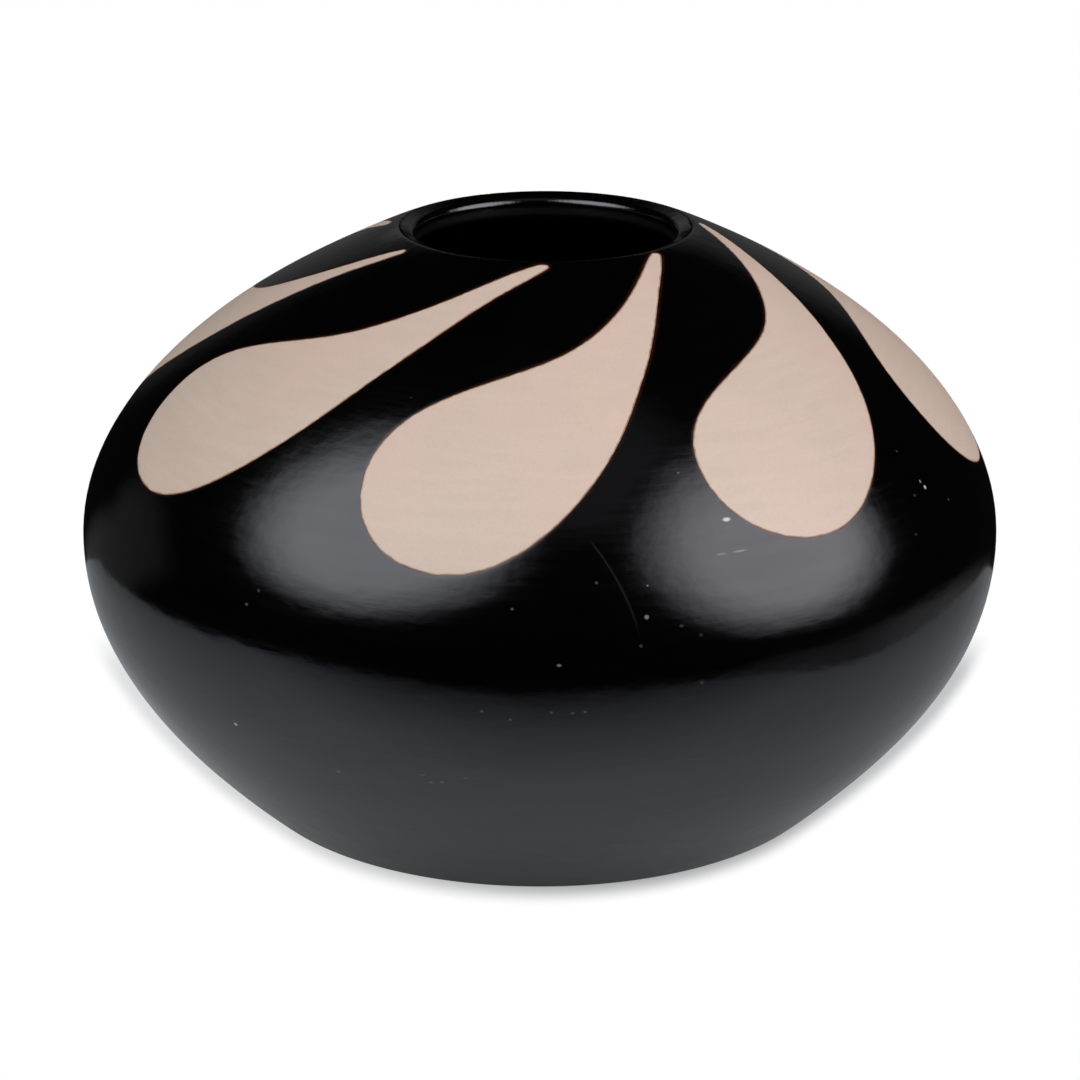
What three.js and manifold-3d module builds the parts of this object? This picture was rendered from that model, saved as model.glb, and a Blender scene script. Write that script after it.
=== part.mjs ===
// A round burnished pottery vase with a small mouth and a ring of leaning teardrops in pale slip.
// Millimetres, +Z up, origin on the table under the middle of the foot, front facing -Y.
import * as THREE from "three";
import { mergeVertices } from "three/addons/utils/BufferGeometryUtils.js";
import Module from "manifold-3d";

// Outer shape of the pot
const widestRadius = 105;
const widestHeight = 62;
const footRadius = 67;
const lipRadius = 33; // from the middle of the mouth to the crest of the lip
const potHeight = 132;
const footSlope = 40.5; // degrees that the wall stands above the table where it leaves the foot
const shoulderSlope = 18.5; // degrees that the shoulder falls away from the lip
const footEdge = 1; // width of the worn edge round the foot

// How far each end of the outer curve holds its direction
const footPull = 35;
const bellyPullDown = 20.5;
const bellyPullUp = 39;
const shoulderPull = 13.5;

// The mouth sits this far to the right of the foot, as a hand-built pot's does
const mouthOffset = 1.3;

// Clay. The lip's crest and inner edge are rounded, its top dips towards the mouth between them, and a
// short upright face stands under the inner edge
const lipRound = 1.6;
const lipTop = 2.1; // width of the dipping top
const lipDip = 20; // degrees that it dips
const lipFace = 2;
const wallThickness = 4.6;
const wallRun = 30; // how far down from the lip the wall thins to its own thickness
const floorThickness = 6;
const floorBlend = 18; // width of the hollow curve between the inner wall and the floor

// Pale slip, laid in a shallow pocket of its own shape
const slipThickness = 0.8;
const slipClearance = 0.3;
const cutterRise = 1; // how far the pocket's cutting shape stands out of the surface

// The plain drop's runs down the surface from the lip, in mm
const dropTip = 1.7;
const dropNeck = 28;
const dropWaist = 39.5; // where the lower edge turns into the head
const dropLow = 81.5;

// Each drop, drawn by hand and so not quite like the next. azimuth is its lowest point's place round the
// pot in degrees, 0 in front and plus to the right. tip, neck and low are times the plain drop's runs.
// head is how far its head reaches to the left, and lean how much further its tip leans, in degrees.
const drops = [
  { azimuth: -107.5, tip: 2.1, neck: 1.14, low: 0.98, head: 14, lean: -10 },
  { azimuth: -59.5, tip: 1, neck: 1, low: 0.99, head: 14, lean: 0.5 },
  { azimuth: -11.5, tip: 0.8, neck: 1, low: 1.025, head: 13.3, lean: -3 },
  { azimuth: 37, tip: 1.3, neck: 1, low: 0.995, head: 14.7, lean: 1 },
  { azimuth: 84, tip: 1, neck: 1.02, low: 1.055, head: 14, lean: 0 },
  { azimuth: 143, tip: 1.2, neck: 1, low: 1.005, head: 13.7, lean: -1 },
  { azimuth: -158, tip: 1.8, neck: 1.02, low: 1, head: 14.3, lean: 0 },
];

// The outline's angles, in degrees from its lowest point
const tipAngle = 59.5;
const upperTailAngle = 41.5;
const lowerTailAngle = 44.5;
const neckAngle = 18.5;
const waistAngle = 29;
const tipWidth = 3; // from the tip's outer end to the start of its upper edge
const neckPull = 11; // how far the upper edge holds its direction on each side of the neck
const waistPullUp = 11.5;
const waistPullDown = 4;
const chinLeft = 8; // how far the outline runs level on each side of its lowest point
const chinRight = 13;

// The outline's bends, in mm of run down the surface
const tipRound = 1.4; // from the tip's outer end to the start of its lower edge
const tailBow = 4.3; // how the tail's upper edge leaves the tip
const neckBow = 8.5; // how the same edge reaches the neck
const crownBow = 9; // how it leaves the neck
const crownFall = 13; // how it comes down on the head's left side
const cheekRise = 21; // from the lowest point up to the head's widest place
const chinBow = 9.5; // how the left side turns in under the head
const lowerBow = 10.8; // how the tail's lower edge leaves the tip
const waistBow = 23; // how the same edge reaches the waist
const cheekBow = 8; // how it leaves the waist

// Facets
const turns = 72;
const shoulderSteps = 9;
const bellySteps = 6;
const lipSteps = 3;
const innerSteps = 10;
const blendSteps = 3;
const dropRows = 20;
const dropColumns = 5;

const rad = THREE.MathUtils.degToRad;
const point = (x, y) => new THREE.Vector2(x, y);
const bezier = (...xy) => new THREE.CubicBezierCurve(...xy.map(([x, y]) => point(x, y)));

// Outer surface as one curve of radius and height, from the crest of the lip down to the foot
const lipCentre = point(lipRadius, potHeight - lipRound);
const lipEdge = new THREE.EllipseCurve(
  lipCentre.x, lipCentre.y, lipRound, lipRound, Math.PI / 2, Math.PI / 2 - rad(shoulderSlope), true);
const shoulderTop = lipEdge.getPoint(1);
const crest = new THREE.EllipseCurve(
  lipCentre.x, lipCentre.y, lipRound, lipRound, Math.PI / 2, Math.PI / 2 + rad(lipDip));
const innerCentre = point(
  lipCentre.x - lipTop * Math.cos(rad(lipDip)), lipCentre.y - lipTop * Math.sin(rad(lipDip)));
const innerEdge = new THREE.EllipseCurve(
  innerCentre.x, innerCentre.y, lipRound, lipRound, Math.PI / 2 + rad(lipDip), Math.PI);
const lowerEdge = new THREE.EllipseCurve(
  innerCentre.x, innerCentre.y - lipFace, lipRound, lipRound, Math.PI, 1.5 * Math.PI - rad(shoulderSlope));
const lipThickness = 2 * lipRound + lipTop * Math.sin(rad(shoulderSlope + lipDip))
  + lipFace * Math.cos(rad(shoulderSlope));
const shoulder = bezier(
  [shoulderTop.x, shoulderTop.y],
  [shoulderTop.x + shoulderPull * Math.cos(rad(shoulderSlope)),
    shoulderTop.y - shoulderPull * Math.sin(rad(shoulderSlope))],
  [widestRadius, widestHeight + bellyPullUp],
  [widestRadius, widestHeight]);
const belly = bezier(
  [widestRadius, widestHeight],
  [widestRadius, widestHeight - bellyPullDown],
  [footRadius + footPull * Math.cos(rad(footSlope)), footPull * Math.sin(rad(footSlope))],
  [footRadius, 0]);
const outer = new THREE.CurvePath();
outer.curves.push(lipEdge, shoulder, belly);

// A point of the clay: how far down the outer surface, and how deep under it
function section(run, depth) {
  const share = run / outer.getLength();
  const place = outer.getPoint(share);
  const along = outer.getTangent(share);
  return point(place.x + along.y * depth, place.y - along.x * depth);
}

// The mouth's offset grows from nothing at the widest ring to its full size at the lip
function leanOver(geometry) {
  const position = geometry.attributes.position;
  for (let i = 0; i < position.count; i++) {
    const rise = Math.max(0, (position.getZ(i) - widestHeight) / (potHeight - widestHeight));
    position.setX(i, position.getX(i) + mouthOffset * rise * rise);
  }
  return geometry;
}

function wallAt(run) {
  const grown = Math.min(1, run / wallRun);
  return lipThickness + (wallThickness - lipThickness) * grown * (2 - grown);
}

// The inner wall from the mouth down, then the hollow curve and the flat floor out to the axis
function innerProfile() {
  const points = [];
  const wallBottom = floorThickness + floorBlend / 2;
  const start = lipEdge.getLength();
  const last = outer.getLength();
  for (let i = 1; i <= innerSteps; i++) {
    const run = start + (last - start) * i / innerSteps;
    const inside = section(run, wallAt(run));
    if (inside.y <= wallBottom) break;
    points.push(inside);
  }
  const above = points[points.length - 2];
  const end = points[points.length - 1];
  const corner = end.clone().lerp(above, -(end.y - floorThickness) / (above.y - end.y));
  const blend = new THREE.QuadraticBezierCurve(end, corner, point(corner.x - floorBlend, floorThickness));
  return [...points, ...blend.getPoints(blendSteps).slice(1), point(0, floorThickness)];
}

function bodyProfile() {
  const foot = section(outer.getLength() - footEdge, 0);
  const under = footRadius - footEdge;
  const round = new THREE.QuadraticBezierCurve(point(under, 0), point(footRadius, 0), foot);
  return [
    point(0, 0),
    ...round.getPoints(2),
    ...belly.getPoints(bellySteps).reverse().slice(1),
    ...shoulder.getPoints(shoulderSteps).reverse().slice(1),
    ...crest.getPoints(1),
    ...innerEdge.getPoints(lipSteps),
    ...lowerEdge.getPoints(lipSteps),
    ...innerProfile(),
  ];
}

// Joins equal corners and drops the triangles that closed to a line, so that the mesh is one closed body
function closedMesh(geometry) {
  geometry.deleteAttribute("normal");
  geometry.deleteAttribute("uv");
  const merged = mergeVertices(geometry);
  const index = merged.index.array;
  const kept = [];
  for (let i = 0; i < index.length; i += 3) {
    const [a, b, c] = [index[i], index[i + 1], index[i + 2]];
    if (a !== b && b !== c && c !== a) kept.push(a, b, c);
  }
  merged.setIndex(kept);
  return merged;
}

function bodyGeometry() {
  const lathe = new THREE.LatheGeometry(bodyProfile(), turns);
  lathe.rotateX(Math.PI / 2);
  return closedMesh(leanOver(lathe));
}

// The two edges of a drop, both from its tip to its lowest point, in degrees and mm of run
function dropEdges(drop) {
  const [tip, neck, low] = [drop.tip * dropTip, drop.neck * dropNeck, drop.low * dropLow];
  const apex = [tipAngle, tip];
  const upperStart = [tipAngle - tipWidth, tip - tipRound / 7];
  const lowerStart = [tipAngle - tipWidth / 7, tip + tipRound];
  const left = new THREE.CurvePath();
  left.curves.push(
    bezier(apex, [tipAngle - tipWidth / 6, tip - tipRound / 5],
      [upperStart[0] + tipWidth * 0.4, upperStart[1] - tipRound / 5], upperStart),
    bezier(upperStart, [upperTailAngle, tip + tailBow], [neckAngle + neckPull, neck - neckBow],
      [neckAngle, neck]),
    bezier([neckAngle, neck], [neckAngle - neckPull, neck + crownBow],
      [-drop.head, neck + crownFall], [-drop.head, low - cheekRise]),
    bezier([-drop.head, low - cheekRise], [-drop.head, low - chinBow], [-chinLeft, low], [0, low]));
  const right = new THREE.CurvePath();
  right.curves.push(
    bezier(apex, [tipAngle + tipWidth / 6, tip + tipRound / 5],
      [lowerStart[0] + tipWidth / 3, lowerStart[1] - tipRound / 3], lowerStart),
    bezier(lowerStart, [lowerTailAngle, tip + lowerBow], [waistAngle + waistPullUp, dropWaist - waistBow],
      [waistAngle, dropWaist]),
    bezier([waistAngle, dropWaist], [waistAngle - waistPullDown, dropWaist + cheekBow],
      [chinRight, low], [0, low]));
  return [left, right];
}

// A point of an edge, moved outward by the margin: its angle round the pot in radians, and its run
function edgePoint(edge, share, side, margin, { azimuth, lean }) {
  const place = edge.getPoint(share);
  const along = edge.getTangent(share);
  const around = section(place.y, 0).x;
  const step = point(rad(along.x) * around, along.y).normalize();
  const tail = Math.max(0, (place.x - neckAngle) / (tipAngle - neckAngle));
  const angle = rad(azimuth + place.x + lean * tail * tail) - side * step.y * margin / around;
  return [angle, place.y + side * step.x * margin];
}

// A thin curved solid in the shape of a drop, from one depth under the surface to another
function dropGeometry(drop, margin, top, bottom) {
  const [left, right] = dropEdges(drop);
  const vertices = [];
  for (const depth of [top, bottom]) {
    for (let i = 0; i <= dropRows; i++) {
      const share = 0.5 - 0.5 * Math.cos(Math.PI * i / dropRows);
      const from = edgePoint(left, share, 1, margin, drop);
      const to = i % dropRows ? edgePoint(right, share, -1, margin, drop) : from;
      for (let j = 0; j <= dropColumns; j++) {
        const across = j / dropColumns;
        const angle = THREE.MathUtils.lerp(from[0], to[0], across);
        const place = section(THREE.MathUtils.lerp(from[1], to[1], across), depth);
        vertices.push(place.x * Math.sin(angle), -place.x * Math.cos(angle), place.y);
      }
    }
  }
  const across = dropColumns + 1;
  const layer = across * (dropRows + 1);
  const faces = [];
  const quad = (a, b, c, d) => faces.push(a, b, c, a, c, d);
  for (let i = 0; i < dropRows; i++) {
    for (let j = 0; j < dropColumns; j++) {
      const k = i * across + j;
      quad(k, k + across, k + across + 1, k + 1);
      quad(layer + k, layer + k + 1, layer + k + across + 1, layer + k + across);
    }
    const start = i * across;
    const end = start + dropColumns;
    quad(start, layer + start, layer + start + across, start + across);
    quad(end, end + across, layer + end + across, layer + end);
  }
  const geometry = new THREE.BufferGeometry();
  geometry.setAttribute("position", new THREE.Float32BufferAttribute(vertices, 3));
  geometry.setIndex(faces);
  return closedMesh(leanOver(geometry));
}

const wasm = await Module();
wasm.setup();

function solid(geometry) {
  return new wasm.Manifold(new wasm.Mesh({
    numProp: 3,
    vertProperties: new Float32Array(geometry.attributes.position.array),
    triVerts: new Uint32Array(geometry.index.array),
  }));
}

function fromSolid(manifold) {
  const mesh = manifold.getMesh();
  const geometry = new THREE.BufferGeometry();
  geometry.setAttribute("position", new THREE.BufferAttribute(mesh.vertProperties, 3));
  geometry.setIndex(new THREE.BufferAttribute(mesh.triVerts, 1));
  return geometry;
}

function piece(name, geometry, material) {
  geometry.computeVertexNormals();
  const mesh = new THREE.Mesh(geometry, material);
  mesh.name = name;
  return mesh;
}

const burnishedClay = new THREE.MeshStandardMaterial({ color: 0x0b0b0c, roughness: 0.3, metalness: 0 });
const paleSlip = new THREE.MeshStandardMaterial({ color: 0xd0bcab, roughness: 0.5, metalness: 0 });

const vase = new THREE.Group();
let body = solid(bodyGeometry());
drops.forEach((drop, i) => {
  const pocket = dropGeometry(drop, slipClearance, -cutterRise, slipThickness + slipClearance);
  body = body.subtract(solid(pocket));
  vase.add(piece(`slip_drop_${i + 1}`, dropGeometry(drop, 0, 0, slipThickness), paleSlip));
});
vase.add(piece("vase_body", fromSolid(body), burnishedClay));

export default vase;
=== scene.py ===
# A round pottery vase in burnished black clay, with a ring of leaning teardrops in pale slip.
# Metres, +Z up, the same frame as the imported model, front facing -Y.
import math

import bmesh
import bpy
import numpy as np
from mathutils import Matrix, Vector
from mathutils.geometry import delaunay_2d_cdt
from mathutils.kdtree import KDTree


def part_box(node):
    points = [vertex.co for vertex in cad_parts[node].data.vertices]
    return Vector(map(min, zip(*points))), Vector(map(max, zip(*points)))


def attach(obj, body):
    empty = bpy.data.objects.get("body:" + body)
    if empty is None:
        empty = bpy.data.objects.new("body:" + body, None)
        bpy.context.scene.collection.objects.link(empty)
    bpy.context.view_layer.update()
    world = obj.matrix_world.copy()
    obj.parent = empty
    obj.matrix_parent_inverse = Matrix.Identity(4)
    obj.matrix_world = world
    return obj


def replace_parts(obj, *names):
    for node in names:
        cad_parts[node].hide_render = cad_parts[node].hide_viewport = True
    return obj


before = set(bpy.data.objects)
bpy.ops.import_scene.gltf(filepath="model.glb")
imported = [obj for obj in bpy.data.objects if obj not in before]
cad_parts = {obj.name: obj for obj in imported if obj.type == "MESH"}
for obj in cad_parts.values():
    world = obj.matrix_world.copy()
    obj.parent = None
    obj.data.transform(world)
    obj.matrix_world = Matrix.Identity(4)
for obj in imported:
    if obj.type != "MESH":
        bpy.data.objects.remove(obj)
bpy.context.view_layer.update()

# Outer shape of the pot
BODY_LOW, BODY_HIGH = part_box("vase_body")
WIDEST_RADIUS = BODY_HIGH.x
POT_HEIGHT = BODY_HIGH.z
WIDEST_HEIGHT = 0.062
FOOT_RADIUS = 0.067
LIP_RADIUS = 0.033  # from the middle of the mouth to the crest of the lip
FOOT_SLOPE = 40.5  # degrees that the wall stands above the table where it leaves the foot
SHOULDER_SLOPE = 18.5  # degrees that the shoulder falls away from the lip
FOOT_PULL = 0.035
BELLY_PULL_DOWN = 0.0205
BELLY_PULL_UP = 0.039
SHOULDER_PULL = 0.0135
MOUTH_OFFSET = 0.0013  # the mouth sits this far to the right of the foot
FOOT_EDGE = 0.001  # width of the worn edge round the foot

# The lip's crest and inner edge are rounded, its top dips towards the mouth between them, and a short
# upright face stands under the inner edge
LIP_ROUND = 0.0016
LIP_TOP = 0.0021
LIP_DIP = 20  # degrees that the top dips
LIP_FACE = 0.002
LIP_FINE = 0.004  # the mesh has twice as many rings from inside the lip to this far down from it

# Clay and slip
WALL_THICKNESS = 0.0046
WALL_RUN = 0.03  # how far down from the lip the wall thins to its own thickness
FLOOR_THICKNESS = 0.006
FLOOR_BLEND = 0.018
SLIP_THICKNESS = 0.0008
POCKET_DEPTH = 0.0011

# The plain drop's runs down the surface from the lip
DROP_TIP = 0.0017
DROP_NECK = 0.028
DROP_WAIST = 0.0395
DROP_LOW = 0.0815

# Each drop: its lowest point's azimuth, its tip, neck and low runs as multiples of the plain drop's,
# and in degrees how far its head reaches to the left and how much further its tip leans
DROPS = (
    (-107.5, 2.1, 1.14, 0.98, 14, -10),
    (-59.5, 1, 1, 0.99, 14, 0.5),
    (-11.5, 0.8, 1, 1.025, 13.3, -3),
    (37, 1.3, 1, 0.995, 14.7, 1),
    (84, 1, 1.02, 1.055, 14, 0),
    (143, 1.2, 1, 1.005, 13.7, -1),
    (-158, 1.8, 1.02, 1, 14.3, 0),
)

# The outline's angles, in degrees from its lowest point
TIP_ANGLE = 59.5
UPPER_TAIL_ANGLE = 41.5
LOWER_TAIL_ANGLE = 44.5
NECK_ANGLE = 18.5
WAIST_ANGLE = 29
TIP_WIDTH = 3
NECK_PULL = 11
WAIST_PULL_UP = 11.5
WAIST_PULL_DOWN = 4
CHIN_LEFT = 8
CHIN_RIGHT = 13

# The outline's bends, in metres of run down the surface
TIP_ROUND = 0.0014
TAIL_BOW = 0.0043
NECK_BOW = 0.0085
CROWN_BOW = 0.009
CROWN_FALL = 0.013
CHEEK_RISE = 0.021
CHIN_BOW = 0.0095
LOWER_BOW = 0.0108
WAIST_BOW = 0.023
CHEEK_BOW = 0.008

# Fine mesh
TURNS = 300
OUTLINE_STEP = 0.0006  # longest step along an outline
TIP_STEP = 0.00014  # shortest step, at the tip
STEP_GROWTH = 6  # a step grows by one part in this many of its distance from the tip
KEEP_CLEAR = 0.00058  # no grid point lies closer than this to a loop round a drop
CURVE_STEPS = 400

# Loops round each drop: distance outside its outline, depth of the clay there, and depth of the slip there
LOOPS = (
    (-0.0003, 0, 0),
    (-0.00005, 0, 0.00001),
    (0.0001, 0, 0.00003),
    (0.00017, 0.00003, 0),
    (0.0003, 0.00001, 0),
    (0.0006, 0, 0),
    (0.0013, 0, 0),
    (0.0024, 0, 0),
)
SLIP_LOOP = 2
POCKET_LOOP = 3
RIM_REACH = 0.005  # the rim attribute stops growing this far from an outline
LAY_RADIUS = 0.08  # the lay attribute puts every height of the wall on one cylinder of this radius
BELLY_RINGS = 44
WALL_RINGS = 60
DISC_RINGS = 7  # rings across the flat floor, and across the flat base
LIP_STEPS = 30  # steps along each roundness of the lip's top
LIP_UNDER_STEPS = 12
FLOOR_BLEND_STEPS = 8
FOOT_EDGE_STEPS = 6
SAME_POINT = 1e-7
SAME_PLAN_POINT = 1e-9
SHARP_ANGLE = 40

# Hand-made unevenness: turns round the pot, run of one wave, depth and phase
WAVES = (
    (2, 0.21, 0.00008, 0.4),
    (3, -0.13, 0.00006, 2.1),
    (5, 0.09, 0.00004, 4.4),
    (9, -0.06, 0.00002, 1.3),
    (13, 0.045, 0.000012, 5.2),
)
WAVE_FADE = 0.018

# Single specks and chips: degrees round the pot, run down from the lip, half length, half height, strength
SPECKS = (
    (-39.4, 0.1254, 0.0005, 0.0005, 0.7),
    (-36, 0.0957, 0.0004, 0.0004, 0.12),
    (-34.6, 0.0923, 0.0004, 0.0004, 0.07),
    (-25.3, 0.1322, 0.0006, 0.0004, 0.1),
    (-14.1, 0.1294, 0.0007, 0.0003, 0.08),
    (-13.2, 0.1315, 0.0005, 0.0005, 0.08),
    (-11.8, 0.1311, 0.0005, 0.0005, 0.08),
    (-8.8, 0.1292, 0.0008, 0.0003, 0.06),
    (-6.5, 0.1116, 0.0004, 0.0004, 0.08),
    (-3.3, 0.1133, 0.0004, 0.0004, 0.06),
    (1.3, 0.1116, 0.0004, 0.0004, 0.06),
    (2.1, 0.1013, 0.0005, 0.0004, 0.22),
    (3.6, 0.1118, 0.0004, 0.0004, 0.06),
    (5, 0.1116, 0.0004, 0.0004, 0.08),
    (6.5, 0.0847, 0.0004, 0.0004, 0.07),
    (11.3, 0.098, 0.0004, 0.0004, 0.06),
    (12.1, 0.0922, 0.0005, 0.0006, 0.25),
    (16.1, 0.0946, 0.0005, 0.0004, 0.05),
    (18.3, 0.0969, 0.0005, 0.0005, 0.03),
    (18.3, 0.107, 0.0005, 0.0005, 0.04),
    (22.1, 0.081, 0.0012, 0.0003, 0.14),
    (23.9, 0.0739, 0.001, 0.0006, 0.9),
    (24.6, 0.0809, 0.0018, 0.0003, 0.2),
    (52.4, 0.0875, 0.0004, 0.0004, 0.05),
    (55.4, 0.0799, 0.0006, 0.0004, 0.05),
    (57, 0.0697, 0.0004, 0.0004, 0.06),
    (58.1, 0.0779, 0.0004, 0.0005, 0.3),
    (58.5, 0.0795, 0.0005, 0.0006, 0.7),
    (62.7, 0.0847, 0.0004, 0.0004, 0.08),
)
SPECK_CORE = 0.35  # share of its size within which a speck has its full strength

# A ramp, here and below, gives where it starts and ends and then its values there

# Specks of dust strewn over the pot in the cells of a pattern: its scale, the least random number that
# gives a cell a speck, a ramp of strength by a second random number, and where a speck ends and is full
STREWN_SCALE = 230
STREWN_LEAST = 0.955
STREWN_STRENGTH = (0.3, 1, 0.03, 0.3)
STREWN_SIZE = (0.08, 0.03)

# The scratch: run of its top, sideways place, lean and bend, length, half width, strength and soft start
SCRATCH_TOP = 0.0755
SCRATCH_SIDE = 0.0082
SCRATCH_LEAN = 0.566
SCRATCH_BEND = 10.3
SCRATCH_LENGTH = 0.0225
SCRATCH_WIDTH = 0.00035
SCRATCH_STRENGTH = 0.016
SCRATCH_START = 0.002

# Textures of the clay and of the slip: how much finer they are down the wall than round it, their scale,
# detail and roughness, and the depth in metres of their bumps
CLAY_TEXTURES = {
    "dents": (1.5, 140, 2, 0.5, 0.00006),
    "pocks": (1, 260, 3, 0.5, 0.00003),
    "strokes": (16, 48, 3, 0.55, 0.000006),
    "fine strokes": (12, 230, 2, 0.6, 0.000005),
    "grain": (1, 2600, 2, 0.5, 0.000003),
}
SLIP_TEXTURES = {
    "strokes": (7, 60, 4, 0.6, 0.000005),
    "grain": (1, 1500, 3, 0.5, 0.000006),
}

# The clay: its colours as levels in a picture from 0 to 255, then its ramps
CLAY_BLACK = (0.5, 0.5, 1)
CLAY_CLOUD = (3, 3, 3)
CLAY_LINE = (48, 23, 13)
CLAY_INSIDE = (15, 11, 9)
CLAY_DUST = (215, 213, 210)
CLAY_TINT = (0.955, 0.975, 1.07, 1)  # of its reflections
CLOUD_PATTERN = (22, 3)  # scale and detail of the clouds between black and cloud colour
LINE_WIDTH = (0.02, 0.06, 0.0013, 0.001)  # width of the brown line round the slip, by the run from the lip
LINE_FULL = 0.0001  # the brown line has its full colour to this far from the slip
LINE_RAGGED = (400, 0.0007)  # scale and depth of the line's unevenness
DULL_REACH = 0.0015  # inside the lip the clay turns dull and brown over this far
INSIDE_SHADE_REACH = 0.0045  # and from there to here it is painted back to black, as shade deeper inside the mouth
CLAY_ROUGHNESS = (0.45, 0.95, 0.1, 0.16)  # by the strokes
CLAY_MIRROR = (0.3, 0.7, 0.57, 0.63)  # strength of its reflections, by the strokes
LIP_MIRROR = (-0.001, -0.003, 0, 0.3)  # and what the lip's top adds to it, by the run
FINE_SHARE = 0.4  # how much the fine strokes count for the roughness beside the strokes
DUST_ROUGHNESS = 0.4
INSIDE_ROUGHNESS = 0.3
INSIDE_MIRROR = -0.65

# The slip: its colours, and its ramps
SLIP_DARK = (210, 191, 176)
SLIP_PALE = (216, 197, 182)
SLIP_CLOUD = (219, 193, 179)
SLIP_GRAIN = (190, 168, 152)
SLIP_EDGE = (150, 112, 90)
SLIP_STROKE_SHARE = (0.3, 0.75)
SLIP_CLOUD_PATTERN = (38, 2)
SLIP_CLOUD_SHARE = (0.35, 0.65, 0, 0.7)
SLIP_GRAIN_SHARE = (0.35, 0.75, 0, 0.15)
SLIP_EDGE_WIDTH = 0.0003
SLIP_RAGGED = (500, 0.0005)  # scale and depth of its edge's unevenness
SLIP_ROUGHNESS = (0.3, 0.8, 0.42, 0.52)  # by the strokes
SLIP_MIRROR = 0.35

# Camera
CAMERA_PLACE = (0, -0.735, 0.3125)
CAMERA_TARGET = (0, 0, 0.0571)
CAMERA_LENS = 111.86
CAMERA_SENSOR = 36

# Studio: a white table with a dim room round it, two round softboxes in front, and a dim even light
FLOOR_REACH = 6  # how far the paper reaches to each side of the shade
# The lit table's edge, from its right back corner round the front; beyond it reflections see the dim room
TABLE_EDGE = (
    (0.205, 0.12), (0.24, 0.05), (0.212, -0.037), (0.18, -0.104), (0.16, -0.19), (0.1, -0.235),
    (0, -0.255), (-0.1, -0.265), (-0.186, -0.23), (-0.235, -0.185), (-0.262, -0.13), (-0.279, -0.049),
    (-0.277, 0.048), (-0.24, 0.135), (-0.12, 0.135), (0, 0.135), (0.12, 0.13),
)
TABLE_FRONT = (-0.245, -0.11)  # in reflections the table is painted dimmer from the second of these to the first
TABLE_BOW = 0.12  # and how much further out it does so for each unit to the side
POOL_MIDDLE = (-0.03, -0.08, 0)  # a painted pool of light makes the table brightest here in reflections
POOL_LIGHT = (0.06, 0.28, 1.27, 0.48)  # ramp of its light by the distance from there
FOOT_LIGHT = (0.06, 0.11, 0.6, 1)  # and by the distance from under the pot, which paints shade close under it
TABLE_GLOW = 0.1  # share of its own glow in reflections
TABLE_TINT = (0.94, 1.0, 1.05)
CARD_RISE = 0.0005
ROOM_REACH = 2.5
ROOM_TOP = 84  # degrees up to the flat card over the set
ROOM_LEVELS = 12
ROOM_GLOW = 0.004
# Brighter parts of the room: which way they lie, the cosines of the angles from there where they end and
# where they are full, and how much they add
ROOM_PARTS = (
    ((0, 0.97, 0.25), 0.86, 0.97, 0.075),
    ((-0.15, 0.925, 0.36), 0.9945, 0.9988, 0.15),
    ((0.15, 0.925, 0.36), 0.9945, 0.9988, 0.11),
    ((0.09, -0.24, 0.966), 0.9, 0.99, 0.13),
    ((-0.9, 0.43, 0), 0.94, 0.99, 0.07),
)
DARK_GAP = (0.04, 0.15)  # the first part starts, and is full, this far to each side of straight back
# Brighter places close beside the right end of the table: the middle, how far from there they end and are
# full, and how much they add
SIDE_PARTS = (
    ((0.24, -0.01, 0), 0.17, 0.02, 0.2),
    ((0.19, -0.12, 0), 0.12, 0.05, 0.12),
)
# The pot's painted shade on the table, cut along its outline as seen from this place, where no lamp stands;
# it falls straight back as from a light in front
PAINTED_SHADE_PLACE = (0, -0.68, 0.295)
SHADE_WIDTH = (0.0041, 0.0102)  # how far its soft edge reaches to the side and to the front
SHADE_DEPTH = (-0.06, 0.02, 0.37, 0.62)  # ramp of its depth from left to right
SHADE_END = (0.15, 0.12)  # beyond the first distance from the middle it is gone, within the second whole
SHADE_TURNS = 240
SHADE_HEIGHTS = 60
SHADE_RINGS = 12
PAPER = 0.66
LIGHT_TARGET = (0, 0, 0.06)
LIGHT_DISTANCE = 1.1
# Each softbox: name, azimuth and height of its middle, how far from its middle its glow ends across and
# up, all in degrees as the pot sees it, strength and colour
SOFTBOXES = (
    ("softbox_left", -50.5, 42.8, 35.2, 35.2, 2.85, (1, 1, 1, 1)),
    ("softbox_right", 64.3, 30, 34, 37, 3.1, (1.02, 0.985, 0.995, 1)),
)
SOFTBOX_CORE = 0.38  # share of the way from its middle to its edge where a softbox starts to fade
SOFTBOX_CORNERS = 48
AMBIENT = 0.15


def bezier(corners, steps=CURVE_STEPS):
    """Points along a cubic Bezier curve, both ends included."""
    t = np.linspace(0, 1, steps + 1)[:, None]
    a, b, c, d = (np.array(corner, float) for corner in corners)
    return a * (1 - t) ** 3 + 3 * b * (1 - t) ** 2 * t + 3 * c * (1 - t) * t ** 2 + d * t ** 3


def rounded(start, corner, end, steps):
    """Points along a curve from start to end that bends towards a corner."""
    t = np.linspace(0, 1, steps + 1)[:, None]
    return start * (1 - t) ** 2 + corner * 2 * t * (1 - t) + end * t ** 2


def to_axis(radius, height):
    """Radius and height of the rings of a flat disc, from inside its edge to the axis."""
    return np.column_stack([np.linspace(radius, 0, DISC_RINGS + 1)[1:], np.full(DISC_RINGS, height)])


def ring_quads(levels, turns):
    """Quads between rings of points, numbered ring by ring, with as many points in each as turns."""
    return [
        [r * turns + i, (r + 1) * turns + i, (r + 1) * turns + (i + 1) % turns, r * turns + (i + 1) % turns]
        for r in range(levels - 1) for i in range(turns)
    ]


def search_tree(places):
    """A tree that finds the nearest of these places."""
    tree = KDTree(len(places))
    for i, place in enumerate(places):
        tree.insert(place, i)
    tree.balance()
    return tree


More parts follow.
